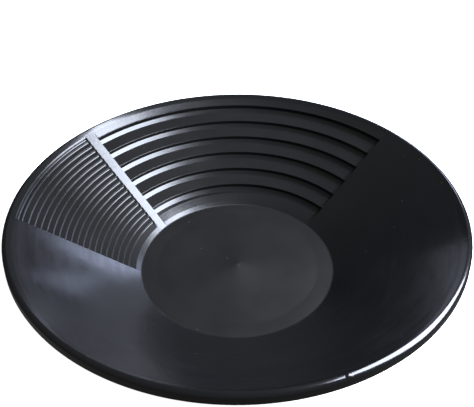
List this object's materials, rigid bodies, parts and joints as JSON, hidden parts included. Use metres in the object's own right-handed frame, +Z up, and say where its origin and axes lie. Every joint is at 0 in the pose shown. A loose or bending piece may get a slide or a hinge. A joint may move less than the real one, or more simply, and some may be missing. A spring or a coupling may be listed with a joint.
{
  "type": "gold pan",
  "caption": "Round black plastic gold pan with sloping wall, coarse and fine riffled sectors, plain dividing strip, flat floor and turned-down rim.",
  "frame": {"origin": "centre of the flat underside of the floor, where the axis of the pan meets the surface it stands on", "axes": "+Z up along the axis of the pan towards the rim; the coarse riffles lie on the +Y side and the fine riffles on the -X side"},
  "size_m": [0.356, 0.356, 0.0669],
  "materials": {
    "black_polypropylene": "satin black as moulded, soft gloss on the wall and rim, dull on the floor"
  },
  "bodies": {
    "root": {"pan_floor": "black_polypropylene", "smooth_wall": "black_polypropylene", "coarse_riffle_1": "black_polypropylene", "coarse_riffle_2": "black_polypropylene", "coarse_riffle_3": "black_polypropylene", "coarse_riffle_4": "black_polypropylene", "coarse_riffle_5": "black_polypropylene", "coarse_riffle_6": "black_polypropylene", "riffle_divider": "black_polypropylene", "fine_riffle_wall": "black_polypropylene", "rim": "black_polypropylene"}
  },
  "joints": []
}
